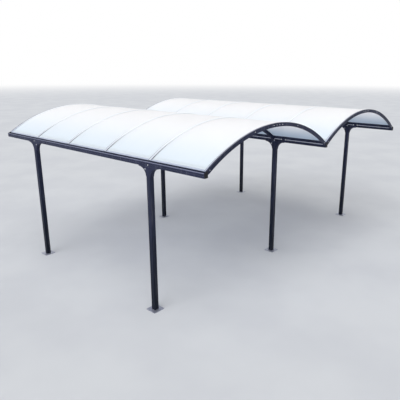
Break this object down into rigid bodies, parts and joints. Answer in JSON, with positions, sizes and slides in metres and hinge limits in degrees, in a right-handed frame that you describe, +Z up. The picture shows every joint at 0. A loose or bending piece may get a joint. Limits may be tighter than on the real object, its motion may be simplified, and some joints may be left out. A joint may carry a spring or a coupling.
{
  "type": "carport",
  "caption": "Free-standing double carport: barrel-vaulted translucent bays on metal posts, gutter beams and arches.",
  "frame": {"origin": "on the ground under the middle of the roof", "axes": "+X across the two bays, +Y along the vaults towards the rear end, +Z up"},
  "size_m": [5.82, 4.9, 2.538],
  "materials": {
    "coated_frame": "powder-coated aluminium, dark anthracite, satin",
    "galvanised_steel": "hot-dip galvanised, matt",
    "roof_sheet": "milky translucent polycarbonate, glossy",
    "seam_cover": "pale weathered plastic strip, glossy",
    "end_cap": "moulded, matt black"
  },
  "bodies": {
    "root": {"far_bay_ribs": "coated_frame", "far_bay_seam_covers": "seam_cover", "far_front_arch": "coated_frame", "far_front_foot": "galvanised_steel", "far_front_knees": "coated_frame", "far_front_post": "coated_frame", "far_gutter_beam": "coated_frame", "far_rear_arch": "coated_frame", "far_rear_foot": "galvanised_steel", "far_rear_knees": "coated_frame", "far_rear_post": "coated_frame", "far_sheet_1": "roof_sheet", "far_sheet_2": "roof_sheet", "far_sheet_3": "roof_sheet", "far_sheet_4": "roof_sheet", "far_sheet_5": "roof_sheet", "front_gutter_caps": "end_cap", "near_bay_ribs": "coated_frame", "near_bay_seam_covers": "seam_cover", "near_front_arch": "coated_frame", "near_front_foot": "galvanised_steel", "near_front_knees": "coated_frame", "near_front_post": "coated_frame", "near_gutter_beam": "coated_frame", "near_rear_arch": "coated_frame", "near_rear_foot": "galvanised_steel", "near_rear_knees": "coated_frame", "near_rear_post": "coated_frame", "near_sheet_1": "roof_sheet", "near_sheet_2": "roof_sheet", "near_sheet_3": "roof_sheet", "near_sheet_4": "roof_sheet", "near_sheet_5": "roof_sheet", "rear_gutter_caps": "end_cap", "valley_front_foot": "galvanised_steel", "valley_front_knees": "coated_frame", "valley_front_post": "coated_frame", "valley_gutter_beam": "coated_frame", "valley_rear_foot": "galvanised_steel", "valley_rear_knees": "coated_frame", "valley_rear_post": "coated_frame"}
  },
  "joints": []
}
